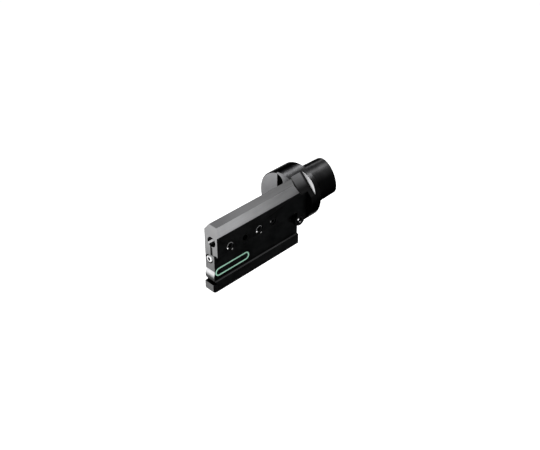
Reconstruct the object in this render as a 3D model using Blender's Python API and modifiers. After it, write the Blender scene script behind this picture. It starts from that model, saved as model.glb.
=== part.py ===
"""Adapter that holds a parting-off blade on a tapered polygon shank.

Axes: +X points out of the side that carries the blade, +Y back along the shank, +Z up.
The origin is on the shank's axis, in the plane of the collar's rear contact face.
All sizes are in metres.
"""
import math

import bmesh
import bpy
from mathutils import Matrix

# Fit between pieces that touch
GAP = 0.0003

# Collar and polygon shank
COLLAR_DIAMETER = 0.050
COLLAR_LENGTH = 0.0238
COLLAR_CHAMFER = 0.0008
FACE_RELIEF_DEPTH = 0.0005
FACE_RELIEF_MARGIN = 0.0011
POLYGON_DIAMETER = 0.035
POLYGON_LOBE = 0.0012
SHANK_LENGTH = 0.030
SHANK_TAPER = 1 / 20
SHANK_CHAMFER = 0.0015
SHANK_RELIEF_WIDTH = 0.0015
SHANK_RELIEF_DEPTH = 0.0008

# Clamping bore in the end of the shank
BORE_MOUTH_DIAMETER = 0.0215
BORE_DIAMETER = 0.0195
BORE_GROOVE_DIAMETER = 0.0235
BORE_LAND = 0.006
BORE_GROOVE_WIDTH = 0.005
BORE_DEPTH = 0.026
BORE_THREAD_DIAMETER = 0.0145
BORE_THREAD_DEPTH = 0.040
BORE_CHAMFER = 0.001

# Gripping flat across the collar, with leaning walls
GRIP_FLAT_DISTANCE = 0.0222
GRIP_FLAT_ANGLE = math.radians(45)
GRIP_REAR_LEAN = math.radians(30)
GRIP_FRONT_LEAN = math.radians(43)
GRIP_RIM_WIDTH = 0.0068
GRIP_FRONT = 0.0200
GRIP_RELIEF_WIDTH = 0.0010
GRIP_RELIEF_DEPTH = 0.0005

# Half-round pocket in the front of the collar
POCKET_RADIUS = 0.0063
POCKET_WALL_X = -0.0046
POCKET_RIM = 0.0016
POCKET_DEPTH = 0.0075
POCKET_ARC_OFFSET = 0.0005

# Block that carries the blade
BLOCK_FRONT = 0.1145
BLOCK_BACK = 0.0195
BLOCK_LEFT = 0.0052
BLOCK_RIGHT = 0.0201
BLOCK_TOP = 0.0250
BLOCK_BOTTOM = 0.0403
BLOCK_EDGE = 0.0010
TOP_CHAMFER_WIDTH = 0.0058
TOP_CHAMFER_HEIGHT = 0.0072
BAND_HEIGHT = 0.0099
BAND_STEP = 0.0004
SIDE_FLAT_BACK = 0.0120

# Blade seat between the clamping lip and the ledge
SEAT_DEPTH = 0.0046
LIP_BOTTOM = 0.0037
BLADE_OPENING = 0.0255
V_DEPTH = 0.0008
LEDGE_REACH = 0.0017

# Nose of the ledge and the rounded pad over it
NOSE_REACH = 0.0015
NOSE_HEIGHT = 0.0078
NOSE_CHAMFER = 0.0024
NOSE_EDGE = 0.0003
PAD_HEIGHT = 0.0086
PAD_PROUD = 0.0009
PAD_GROOVE_DEPTH = 0.0012
PAD_GROOVE_HEIGHT = 0.0024

# Spring slit of the clamping jaw
JAW_BORE_DIAMETER = 0.0092
JAW_BORE_X = 0.0133
JAW_BORE_Z = 0.0088
JAW_LENGTH = 0.0680
SLIT_WIDTH = 0.0016
SLIT_X = 0.0123
SLIT_FOOT_WIDTH = 0.0006

# Row of holes through the jaw
HOLE_COUNT = 4
HOLE_FIRST = 0.1006
HOLE_PITCH = 0.0160
HOLE_Z = 0.0010
HEAD_DIAMETER = 0.0070
HEAD_HEIGHT = 0.0032
HEAD_SOCKET_DIAMETER = 0.0038
HEAD_SOCKET_DEPTH = 0.0018
SCREW_DIAMETER = 0.0042
SCREW_LENGTH = 0.0084
SCREW_EDGE = 0.0004
PLAIN_HOLE_DIAMETER = 0.0056
PLAIN_HOLE_DEPTH = 0.0100
SET_SCREW_DIAMETER = 0.0056
SET_SCREW_LENGTH = 0.0052
SET_SCREW_SUNK = 0.0006
SET_SCREW_SOCKET_DIAMETER = 0.0030
SET_SCREW_SOCKET_DEPTH = 0.0022

# Seal ring on the blade seat, round the coolant port
RING_LENGTH = 0.0372
RING_WIDTH = 0.0079
RING_SECTION = 0.0013
RING_PROUD = 0.00035
RING_FRONT = 0.0008
RING_Z = -0.0218
PORT_DIAMETER = 0.0026
PORT_DEPTH = 0.0060
PORT_FRONT = 0.0053

# Coolant nozzle in the front of the block
NOZZLE_X = 0.00965
NOZZLE_Z = -0.0094
NOZZLE_DIAMETER = 0.0060
NOZZLE_HOLE_DIAMETER = 0.0026
NOZZLE_PROUD = 0.0005
NOZZLE_LENGTH = 0.0080
NOZZLE_RIM = 0.0007
NOZZLE_SEAT_DIAMETER = 0.0084
NOZZLE_SEAT_DEPTH = 0.0008
CHANNEL_DIAMETER = 0.0030
CHANNEL_LENGTH = 0.0300

# Plug screw beside the collar, in a round boss, and a small plug on the seat
BOSS_DIAMETER = 0.0114
BOSS_Y = -0.0205
BOSS_Z = -0.0131
BOSS_DEPTH = 0.0092
PLUG_DIAMETER = 0.0076
PLUG_PROUD = 0.0004
PLUG_LENGTH = 0.0045
PLUG_EDGE = 0.0006
PLUG_SOCKET_DIAMETER = 0.0042
PLUG_SOCKET_DEPTH = 0.0026
DRILL_PLUG_DIAMETER = 0.0030
DRILL_PLUG_LENGTH = 0.0036
DRILL_PLUG_SUNK = 0.0002
DRILL_PLUG_Y = -0.0283
DRILL_PLUG_Z = -0.0118
DRILL_PLUG_DIMPLE = 0.0005
DRILL_PLUG_DIMPLE_DIAMETER = 0.0015

# Facets round a turn, and the turn between faces that counts as flat
COLLAR_STEPS = 120
SHANK_STEPS = 108
BORE_STEPS = 48
HOLE_STEPS = 32
PAD_STEPS = 12
RING_END_STEPS = 14
KEY_SIDES = 6
FLAT_ANGLE = math.radians(0.05)

# Places that follow from the sizes above
COLLAR_RADIUS = COLLAR_DIAMETER / 2
FACE_RELIEF_RADIUS = POLYGON_DIAMETER / 2 + POLYGON_LOBE + FACE_RELIEF_MARGIN
FACE_X = BLOCK_RIGHT - BAND_STEP
FACE_TOP = BLOCK_TOP - BAND_HEIGHT
SEAT_X = BLOCK_RIGHT - SEAT_DEPTH
LEDGE_X = SEAT_X + LEDGE_REACH
LEDGE_TOP = -LIP_BOTTOM - BLADE_OPENING
NOSE_TOP = -BLOCK_BOTTOM + NOSE_HEIGHT
SHANK_EMBED = 0.004
REACH = 0.020

# Turns that point local Z along +X or +Y, and one that lays local (x, y) on world (Y, Z)
ALONG_X = Matrix.Rotation(math.pi / 2, 4, "Y")
ALONG_Y = Matrix.Rotation(-math.pi / 2, 4, "X")
SIDE_VIEW = Matrix(((0, 0, 1, 0), (1, 0, 0, 0), (0, 1, 0, 0), (0, 0, 0, 1)))


def clear_scene():
    """Remove every object of the scene."""
    for obj in list(bpy.data.objects):
        bpy.data.objects.remove(obj, do_unlink=True)


def new_collection(name):
    """Make a collection and link it to the scene."""
    collection = bpy.data.collections.new(name)
    bpy.context.scene.collection.children.link(collection)
    return collection


def new_material(name, color, roughness, metallic):
    """Make a plain Principled material."""
    material = bpy.data.materials.new(name)
    material.use_nodes = True
    shader = material.node_tree.nodes["Principled BSDF"]
    shader.inputs["Base Color"].default_value = (*color, 1.0)
    shader.inputs["Roughness"].default_value = roughness
    shader.inputs["Metallic"].default_value = metallic
    return material


def link_mesh(name, bm, collection):
    """Turn a bmesh into an object with its faces pointing out."""
    bmesh.ops.recalc_face_normals(bm, faces=bm.faces)
    mesh = bpy.data.meshes.new(name)
    bm.to_mesh(mesh)
    bm.free()
    obj = bpy.data.objects.new(name, mesh)
    collection.objects.link(obj)
    return obj


def settle(obj, weld=0.000002):
    """Replace an object by a mesh of its evaluated shape: welded, in place, flat faces whole, facing out."""
    bpy.context.view_layer.update()
    graph = bpy.context.evaluated_depsgraph_get()
    mesh = bpy.data.meshes.new_from_object(obj.evaluated_get(graph))
    mesh.transform(obj.matrix_world)
    bm = bmesh.new()
    bm.from_mesh(mesh)
    bmesh.ops.remove_doubles(bm, verts=bm.verts, dist=weld)
    bmesh.ops.dissolve_degenerate(bm, edges=bm.edges, dist=weld)
    bmesh.ops.dissolve_limit(bm, angle_limit=FLAT_ANGLE, verts=bm.verts, edges=bm.edges)
    bmesh.ops.recalc_face_normals(bm, faces=bm.faces)
    bm.to_mesh(mesh)
    bm.free()
    name, collection = obj.name, obj.users_collection[0]
    bpy.data.objects.remove(obj, do_unlink=True)
    result = bpy.data.objects.new(name, mesh)
    collection.objects.link(result)
    return result


def turned(name, profile, steps, place, collection):
    """Turn a profile of (radius, height) points, from the top of the axis to its foot, round local Z."""
    bm = bmesh.new()
    points = [bm.verts.new((radius, 0.0, height)) for radius, height in profile]
    for first, second in zip(points, points[1:]):
        bm.edges.new((first, second))
    mesh = bpy.data.meshes.new(name)
    bm.to_mesh(mesh)
    bm.free()
    obj = bpy.data.objects.new(name, mesh)
    collection.objects.link(obj)
    obj.matrix_world = place
    screw = obj.modifiers.new("turn", "SCREW")
    screw.axis = "Z"
    screw.steps = steps
    screw.render_steps = steps
    screw.use_merge_vertices = True
    screw.merge_threshold = 0.00001
    return settle(obj)


def cylinder(name, diameter, start, end, place, steps, collection):
    """Make a cylinder between two heights on local Z."""
    bm = bmesh.new()
    middle = Matrix.Translation((0, 0, (start + end) / 2))
    bmesh.ops.create_cone(bm, cap_ends=True, segments=steps, radius1=diameter / 2,
                          radius2=diameter / 2, depth=end - start, matrix=place @ middle)
    return link_mesh(name, bm, collection)


def block(name, low, high, collection):
    """Make a box between two corners."""
    bm = bmesh.new()
    size = [b - a for a, b in zip(low, high)]
    middle = [(a + b) / 2 for a, b in zip(low, high)]
    bmesh.ops.create_cube(bm, size=1, matrix=Matrix.Translation(middle) @ Matrix.Diagonal((*size, 1)))
    return link_mesh(name, bm, collection)


def prism(name, outline, start, end, place, collection):
    """Extrude a flat outline of local (x, y) points between two heights on local Z."""
    curve = bpy.data.curves.new(name, "CURVE")
    curve.dimensions = "2D"
    curve.fill_mode = "BOTH"
    curve.extrude = (end - start) / 2
    spline = curve.splines.new("POLY")
    spline.points.add(len(outline) - 1)
    for point, (x, y) in zip(spline.points, outline):
        point.co = (x, y, 0, 1)
    spline.use_cyclic_u = True
    obj = bpy.data.objects.new(name, curve)
    collection.objects.link(obj)
    obj.matrix_world = place @ Matrix.Translation((0, 0, (start + end) / 2))
    return settle(obj)


def arc(centre, radius, first, last, steps):
    """Points on an arc between two angles in degrees."""
    angles = [math.radians(first + (last - first) * k / steps) for k in range(steps + 1)]
    return [(centre[0] + radius * math.cos(a), centre[1] + radius * math.sin(a)) for a in angles]


def combine(body, tool, operation):
    """Add a Boolean modifier with its exact solver, and make the tool a guide."""
    modifier = body.modifiers.new(tool.name, "BOOLEAN")
    modifier.operation = operation
    modifier.solver = "EXACT"
    modifier.object = tool
    tool.hide_render = True
    tool.display_type = "WIRE"


def cut(body, tool):
    """Take a tool's shape out of a body."""
    combine(body, tool, "DIFFERENCE")


def join(body, tool):
    """Add a tool's shape to a body."""
    combine(body, tool, "UNION")


def finish(obj, material, angle=math.radians(35)):
    """Give a piece its material and smooth its round faces."""
    obj.data.materials.clear()
    obj.data.materials.append(material)
    obj.data.shade_smooth()
    obj.data.set_sharp_from_angle(angle=angle)


def block_outline():
    """Section of the block across the tool, as (x, z) points with the blade seat cut into its right side."""
    bottom = -BLOCK_BOTTOM
    v_middle = (FACE_X + SEAT_X) / 2
    ledge_v = (SEAT_X + LEDGE_X) / 2
    return [
        (BLOCK_LEFT, bottom + BLOCK_EDGE),
        (BLOCK_LEFT + BLOCK_EDGE, bottom),
        (LEDGE_X - BLOCK_EDGE, bottom),
        (LEDGE_X, bottom + BLOCK_EDGE),
        (LEDGE_X, LEDGE_TOP),
        (ledge_v, LEDGE_TOP - V_DEPTH),
        (SEAT_X, LEDGE_TOP),
        (SEAT_X, -LIP_BOTTOM),
        (v_middle, -LIP_BOTTOM + V_DEPTH),
        (FACE_X, -LIP_BOTTOM),
        (FACE_X, FACE_TOP - BAND_STEP),
        (BLOCK_RIGHT, FACE_TOP),
        (BLOCK_RIGHT, BLOCK_TOP - BAND_STEP),
        (BLOCK_RIGHT - BAND_STEP, BLOCK_TOP),
        (BLOCK_LEFT + TOP_CHAMFER_WIDTH, BLOCK_TOP),
        (BLOCK_LEFT, BLOCK_TOP - TOP_CHAMFER_HEIGHT),
    ]


def upright(y=0.0):
    """Local x and y become world X and Z, and local Z runs forward, towards -Y."""
    return Matrix.Translation((0, y, 0)) @ Matrix.Rotation(math.pi / 2, 4, "X")


def make_collar(guides):
    """Turned collar, from its front face to the contact face, which is a ring round a shallow relief."""
    rim, edge, front = COLLAR_RADIUS, COLLAR_CHAMFER, -COLLAR_LENGTH
    relief, recess = FACE_RELIEF_RADIUS, -FACE_RELIEF_DEPTH
    profile = [(0, recess), (relief, recess), (relief, 0), (rim - edge, 0), (rim, -edge),
               (rim, front + edge), (rim - edge, front), (0, front)]
    return turned("collar_blank", profile, COLLAR_STEPS, ALONG_Y, guides)


def polygon_ring(y, diameter):
    """Three-lobed polygon of constant width, at one place along the shank."""
    lobes = 3
    points = []
    for k in range(SHANK_STEPS):
        a = 2 * math.pi * k / SHANK_STEPS + math.pi / 2
        phase = lobes * (a - math.pi / 2)
        radial = diameter / 2 + POLYGON_LOBE * math.cos(phase)
        sideways = -lobes * POLYGON_LOBE * math.sin(phase)
        points.append((radial * math.cos(a) - sideways * math.sin(a), y,
                       radial * math.sin(a) + sideways * math.cos(a)))
    return points


def make_shank(guides):
    """Tapered polygon shank, lofted through its sections."""
    def size(y):
        return POLYGON_DIAMETER - SHANK_TAPER * y

    sections = [(-SHANK_EMBED, size(0) - 2 * SHANK_RELIEF_DEPTH),
                (SHANK_RELIEF_WIDTH, size(SHANK_RELIEF_WIDTH) - 2 * SHANK_RELIEF_DEPTH),
                (SHANK_RELIEF_WIDTH + SHANK_RELIEF_DEPTH, size(SHANK_RELIEF_WIDTH + SHANK_RELIEF_DEPTH)),
                (SHANK_LENGTH - SHANK_CHAMFER, size(SHANK_LENGTH - SHANK_CHAMFER)),
                (SHANK_LENGTH, size(SHANK_LENGTH) - 2 * SHANK_CHAMFER)]
    bm = bmesh.new()
    rings = [[bm.verts.new(point) for point in polygon_ring(y, d)] for y, d in sections]
    for near, far in zip(rings, rings[1:]):
        for k in range(SHANK_STEPS):
            after = (k + 1) % SHANK_STEPS
            bm.faces.new((near[k], near[after], far[after], far[k]))
    bm.faces.new(rings[0])
    bm.faces.new(rings[-1])
    return link_mesh("shank_blank", bm, guides)


def make_shank_bore(guides):
    """Clamping bore in the shank's end, as a turned cutter."""
    end = SHANK_LENGTH
    mouth, bore, groove, thread = (d / 2 for d in (BORE_MOUTH_DIAMETER, BORE_DIAMETER, BORE_GROOVE_DIAMETER,
                                                   BORE_THREAD_DIAMETER))
    groove_start = end - BORE_CHAMFER - BORE_LAND
    groove_end = groove_start - BORE_GROOVE_WIDTH
    slope = groove - bore
    profile = [(0, end + GAP), (mouth, end + GAP), (mouth, end), (bore, end - BORE_CHAMFER),
               (bore, groove_start), (groove, groove_start - slope), (groove, groove_end),
               (bore, groove_end), (bore, end - BORE_DEPTH), (thread, end - BORE_DEPTH - (bore - thread) / 2),
               (thread, end - BORE_THREAD_DEPTH), (0, end - BORE_THREAD_DEPTH - thread / 2)]
    return turned("shank_bore", profile, BORE_STEPS, ALONG_Y, guides)


def make_grip_flat(guides):
    """Cutter for the gripping flat: a floor, two leaning walls and a relief at the rear wall's foot."""
    height = COLLAR_DIAMETER
    floor = GRIP_FLAT_DISTANCE
    rise = height - floor
    rear, front = -GRIP_RIM_WIDTH, -GRIP_FRONT
    outline = [(front - rise * math.tan(GRIP_FRONT_LEAN), height), (front, floor),
               (rear - GRIP_RELIEF_WIDTH, floor), (rear - GRIP_RELIEF_WIDTH, floor - GRIP_RELIEF_DEPTH),
               (rear, floor - GRIP_RELIEF_DEPTH), (rear, floor),
               (rear + rise * math.tan(GRIP_REAR_LEAN), height)]
    turn = Matrix.Rotation(math.pi / 2 - GRIP_FLAT_ANGLE, 4, "Y")
    return prism("grip_flat", outline, -REACH, REACH, turn @ SIDE_VIEW, guides)


def make_pocket(guides):
    """Cutter for the half-round pocket: a straight left wall and a round right one."""
    centre = (POCKET_WALL_X + POCKET_ARC_OFFSET, COLLAR_RADIUS - POCKET_RIM - POCKET_RADIUS)
    swing = math.degrees(math.acos(-POCKET_ARC_OFFSET / POCKET_RADIUS))
    outline = arc(centre, POCKET_RADIUS, -swing, swing, HOLE_STEPS // 2)
    return prism("front_pocket", outline, -POCKET_DEPTH, GAP, upright(-COLLAR_LENGTH), guides)


def make_nose_corner(guides):
    """Cutter for the outer front edge of the ledge, in line with the nose's."""
    start = -BLOCK_FRONT - NOSE_REACH + NOSE_CHAMFER
    outline = [(LEDGE_X, start), (LEDGE_X + REACH, start + REACH), (LEDGE_X + REACH, start - REACH),
               (LEDGE_X - REACH, start - REACH)]
    low, high = -BLOCK_BOTTOM - GAP, LEDGE_TOP + V_DEPTH
    return prism("ledge_corner", outline, low, high, Matrix.Identity(4), guides)


def front_outline():
    """Side view of the block, as (y, z) points: flat front, rounded pad, groove and nose."""
    front, nose = -BLOCK_FRONT, -BLOCK_FRONT - NOSE_REACH
    half = PAD_HEIGHT / 2
    pad_foot = NOSE_TOP + PAD_GROOVE_HEIGHT
    radius = (half * half + PAD_PROUD * PAD_PROUD) / (2 * PAD_PROUD)
    swing = math.degrees(math.asin(half / radius))
    pad = arc((front - PAD_PROUD + radius, pad_foot + half), radius, 180 - swing, 180 + swing, PAD_STEPS)
    groove = front + PAD_GROOVE_DEPTH
    return [(-BLOCK_BACK, BLOCK_TOP + REACH), (front, BLOCK_TOP + REACH)] + pad + [
        (groove, pad_foot - PAD_GROOVE_DEPTH), (groove, NOSE_TOP), (nose + NOSE_EDGE, NOSE_TOP),
        (nose, NOSE_TOP - NOSE_EDGE), (nose, -BLOCK_BOTTOM + NOSE_EDGE), (nose + NOSE_EDGE, -BLOCK_BOTTOM),
        (front, -BLOCK_BOTTOM - REACH), (-BLOCK_BACK, -BLOCK_BOTTOM - REACH)]


def make_front(guides):
    """Extrusion of the block's side view, which trims the section's ends."""
    return prism("block_side_view", front_outline(), -REACH, BLOCK_RIGHT + REACH, SIDE_VIEW, guides)


def make_slit(guides):
    """Cutter for the jaw's slit: down from the jaw bore, then out to the blade seat."""
    foot = -LIP_BOTTOM - GAP
    left, right = SLIT_X - SLIT_WIDTH / 2, SLIT_X + SLIT_WIDTH / 2
    outline = [(left, foot - SLIT_FOOT_WIDTH), (SEAT_X + GAP, foot - SLIT_FOOT_WIDTH), (SEAT_X + GAP, foot),
               (right, foot), (right, JAW_BORE_Z), (left, JAW_BORE_Z)]
    return prism("jaw_slit", outline, -JAW_LENGTH, GAP, upright(-BLOCK_FRONT), guides)


def hole_place(index):
    """Place of one hole of the row, with local Z pointing out of the side face at its surface."""
    return Matrix.Translation((FACE_X, -HOLE_FIRST + index * HOLE_PITCH, HOLE_Z)) @ ALONG_X


def make_screw_hole(index, guides):
    """Counterbored hole for a clamping screw."""
    head = HEAD_DIAMETER / 2 + GAP
    stem = SCREW_DIAMETER / 2 + GAP
    floor = -HEAD_HEIGHT - 2 * GAP
    profile = [(0, GAP), (head, GAP), (head, floor), (stem, floor), (stem, floor - SCREW_LENGTH),
               (0, floor - SCREW_LENGTH - stem / 2)]
    return turned(f"screw_hole_{index + 1}", profile, HOLE_STEPS, hole_place(index), guides)


def make_plain_hole(index, diameter, depth, guides):
    """Plain blind hole of the row."""
    return cylinder(f"plain_hole_{index + 1}", diameter, -depth, GAP, hole_place(index), HOLE_STEPS, guides)


def stadium(length, width, steps):
    """Points round a slot outline that is centred on the origin, its length along x."""
    radius = width / 2
    reach = length / 2 - radius
    return arc((reach, 0), radius, -90, 90, steps) + arc((-reach, 0), radius, 90, 270, steps)


def ring_tube(name, section, collection):
    """Closed tube along the seal ring's centre line."""
    curve = bpy.data.curves.new(name, "CURVE")
    curve.dimensions = "3D"
    curve.bevel_depth = section / 2
    curve.bevel_resolution = 2
    points = stadium(RING_LENGTH - RING_SECTION, RING_WIDTH - RING_SECTION, RING_END_STEPS)
    spline = curve.splines.new("POLY")
    spline.points.add(len(points) - 1)
    centre_x = SEAT_X + RING_PROUD - RING_SECTION / 2
    centre_y = -BLOCK_FRONT + RING_FRONT + RING_LENGTH / 2
    for point, (y, z) in zip(spline.points, points):
        point.co = (centre_x, centre_y + y, RING_Z + z, 1)
    spline.use_cyclic_u = True
    obj = bpy.data.objects.new(name, curve)
    collection.objects.link(obj)
    return settle(obj)


def nozzle_place():
    """Place of the nozzle, with local Z pointing forward out of the block's front face."""
    return upright(-BLOCK_FRONT) @ Matrix.Translation((NOZZLE_X, NOZZLE_Z, 0))


def make_nozzle_hole(guides):
    """Stepped hole for the nozzle, with the channel behind it."""
    seat, body, channel = NOZZLE_SEAT_DIAMETER / 2, NOZZLE_DIAMETER / 2 + GAP, CHANNEL_DIAMETER / 2
    floor = NOZZLE_PROUD - NOZZLE_LENGTH - GAP
    profile = [(0, GAP), (seat, GAP), (seat, -NOZZLE_SEAT_DEPTH), (body, -NOZZLE_SEAT_DEPTH), (body, floor),
               (channel, floor), (channel, floor - CHANNEL_LENGTH), (0, floor - CHANNEL_LENGTH - channel / 2)]
    return turned("nozzle_hole", profile, HOLE_STEPS, nozzle_place(), guides)


def boss_place():
    """Place of the plug's boss, with local Z pointing out of the side face."""
    return Matrix.Translation((FACE_X, BOSS_Y, BOSS_Z)) @ ALONG_X


def drill_plug_place():
    """Place of the small plug on the blade seat."""
    return Matrix.Translation((SEAT_X, DRILL_PLUG_Y, DRILL_PLUG_Z)) @ ALONG_X


def make_body(parts, guides, material):
    """One-piece body: collar, shank and block, with all that is cut into them."""
    body = prism("adapter_body", block_outline(), BLOCK_BACK, BLOCK_FRONT + REACH, upright(), parts)
    combine(body, make_front(guides), "INTERSECT")
    join(body, make_collar(guides))
    join(body, make_shank(guides))
    join(body, cylinder("plug_boss", BOSS_DIAMETER, -BOSS_DEPTH, 0, boss_place(), HOLE_STEPS, guides))
    side = block("side_flat", (FACE_X, -COLLAR_LENGTH - GAP, -COLLAR_RADIUS),
                 (COLLAR_DIAMETER, -SIDE_FLAT_BACK, FACE_TOP - BAND_STEP), guides)
    for tool in (side, make_nose_corner(guides), make_grip_flat(guides), make_pocket(guides),
                 make_shank_bore(guides), make_slit(guides), make_nozzle_hole(guides)):
        cut(body, tool)
    jaw_bore = upright(-BLOCK_FRONT) @ Matrix.Translation((JAW_BORE_X, JAW_BORE_Z, 0))
    cut(body, cylinder("jaw_bore", JAW_BORE_DIAMETER, -JAW_LENGTH, GAP, jaw_bore, HOLE_STEPS, guides))
    for index in range(HOLE_COUNT - 1):
        screwed = index % 2 == 0
        cut(body, make_screw_hole(index, guides) if screwed
            else make_plain_hole(index, PLAIN_HOLE_DIAMETER, PLAIN_HOLE_DEPTH, guides))
    set_screw_hole = SET_SCREW_SUNK + SET_SCREW_LENGTH + GAP
    cut(body, make_plain_hole(HOLE_COUNT - 1, SET_SCREW_DIAMETER + 2 * GAP, set_screw_hole, guides))
    cut(body, ring_tube("ring_groove", RING_SECTION + 2 * GAP, guides))
    port = Matrix.Translation((SEAT_X, -BLOCK_FRONT + PORT_FRONT, RING_Z)) @ ALONG_X
    cut(body, cylinder("coolant_port", PORT_DIAMETER, -PORT_DEPTH, GAP, port, HOLE_STEPS // 2, guides))
    plug_depth = PLUG_LENGTH - PLUG_PROUD + GAP
    cut(body, cylinder("plug_hole", PLUG_DIAMETER + 2 * GAP, -plug_depth, REACH, boss_place(),
                       HOLE_STEPS, guides))
    drill_depth = DRILL_PLUG_LENGTH + DRILL_PLUG_SUNK + GAP
    cut(body, cylinder("drill_plug_hole", DRILL_PLUG_DIAMETER + 2 * GAP, -drill_depth, GAP,
                       drill_plug_place(), HOLE_STEPS // 2, guides))
    finish(body, material)
    return body


def socket(name, diameter, top, depth, place, guides):
    """Six-sided cutter for a key's socket."""
    return cylinder(name, diameter, top - depth, top + GAP, place, KEY_SIDES, guides)


def make_clamp_screw(name, index, parts, guides, material):
    """Cap screw that closes the jaw, its head sunk in the side face."""
    head, stem, top = HEAD_DIAMETER / 2, SCREW_DIAMETER / 2, -GAP
    edge, under = SCREW_EDGE, top - HEAD_HEIGHT
    tip = under - SCREW_LENGTH + GAP
    profile = [(0, top), (head - edge, top), (head, top - edge), (head, under), (stem, under),
               (stem, tip + edge), (stem - edge, tip), (0, tip)]
    place = hole_place(index)
    screw = turned(name, profile, HOLE_STEPS, place, parts)
    cut(screw, socket(f"{name}_socket", HEAD_SOCKET_DIAMETER, top, HEAD_SOCKET_DEPTH, place, guides))
    finish(screw, material)
    return screw


def make_set_screw(parts, guides, material):
    """Headless screw in the last hole of the row."""
    place = hole_place(HOLE_COUNT - 1)
    radius, edge = SET_SCREW_DIAMETER / 2, SCREW_EDGE
    top, bottom = -SET_SCREW_SUNK, -SET_SCREW_SUNK - SET_SCREW_LENGTH
    profile = [(0, top), (radius - edge, top), (radius, top - edge), (radius, bottom + edge),
               (radius - edge, bottom), (0, bottom)]
    screw = turned("jaw_set_screw", profile, HOLE_STEPS, place, parts)
    cut(screw, socket("set_screw_socket", SET_SCREW_SOCKET_DIAMETER, top, SET_SCREW_SOCKET_DEPTH,
                      place, guides))
    finish(screw, material)
    return screw


def make_nozzle(parts, material):
    """Tubular coolant nozzle with a rounded rim."""
    outer, inner, rim = NOZZLE_DIAMETER / 2, NOZZLE_HOLE_DIAMETER / 2, NOZZLE_RIM
    top, bottom = NOZZLE_PROUD, NOZZLE_PROUD - NOZZLE_LENGTH
    profile = [(inner + rim, top), (outer - rim, top), (outer, top - rim), (outer, bottom), (inner, bottom),
               (inner, top - rim), (inner + rim, top)]
    nozzle = turned("coolant_nozzle", profile, HOLE_STEPS, nozzle_place(), parts)
    finish(nozzle, material)
    return nozzle


def make_seal_ring(parts, material):
    """Long round-ended seal ring on the blade seat."""
    ring = ring_tube("seal_ring", RING_SECTION, parts)
    finish(ring, material, math.radians(60))
    return ring


def make_channel_plug(parts, guides, material):
    """Plug screw in the boss beside the collar."""
    radius, top, bottom = PLUG_DIAMETER / 2, PLUG_PROUD, PLUG_PROUD - PLUG_LENGTH
    profile = [(0, top), (radius - PLUG_EDGE, top), (radius, top - PLUG_EDGE), (radius, bottom), (0, bottom)]
    plug = turned("channel_plug", profile, HOLE_STEPS, boss_place(), parts)
    cut(plug, socket("plug_socket", PLUG_SOCKET_DIAMETER, top, PLUG_SOCKET_DEPTH, boss_place(), guides))
    finish(plug, material)
    return plug


def make_drill_plug(parts, material):
    """Small dimpled plug that closes a cross drilling."""
    radius, top = DRILL_PLUG_DIAMETER / 2, -DRILL_PLUG_SUNK
    bottom = top - DRILL_PLUG_LENGTH
    profile = [(0, top - DRILL_PLUG_DIMPLE), (DRILL_PLUG_DIMPLE_DIAMETER / 2, top), (radius, top),
               (radius, bottom), (0, bottom)]
    plug = turned("drill_plug", profile, HOLE_STEPS // 2, drill_plug_place(), parts)
    finish(plug, material)
    return plug


def main():
    """Build every piece of the adapter."""
    clear_scene()
    parts = new_collection("parting_blade_adapter")
    guides = new_collection("guides")
    black_steel = new_material("black_steel", (0.045, 0.046, 0.050), 0.42, 0.6)
    screw_steel = new_material("screw_steel", (0.16, 0.16, 0.17), 0.35, 0.9)
    nozzle_steel = new_material("nozzle_steel", (0.62, 0.63, 0.64), 0.28, 1.0)
    green_rubber = new_material("green_rubber", (0.33, 0.62, 0.47), 0.55, 0.0)
    make_body(parts, guides, black_steel)
    make_clamp_screw("clamp_screw_front", 0, parts, guides, screw_steel)
    make_clamp_screw("clamp_screw_rear", 2, parts, guides, screw_steel)
    make_set_screw(parts, guides, screw_steel)
    make_nozzle(parts, nozzle_steel)
    make_seal_ring(parts, green_rubber)
    make_channel_plug(parts, guides, screw_steel)
    make_drill_plug(parts, screw_steel)


main()
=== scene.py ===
"""Dressed model of a parting blade adapter: fine meshes, finishes, studio light and camera.

Axes: +X out of the side that carries the blade, +Y back along the shank, +Z up, in metres.
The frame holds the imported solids. Each piece here takes its place and size from the solid it dresses.
"""

import logging
import math
from dataclasses import dataclass, replace
from enum import Enum
from typing import Optional, Sequence, Union

import bmesh
import bpy
from mathutils import Matrix, Vector


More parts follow.
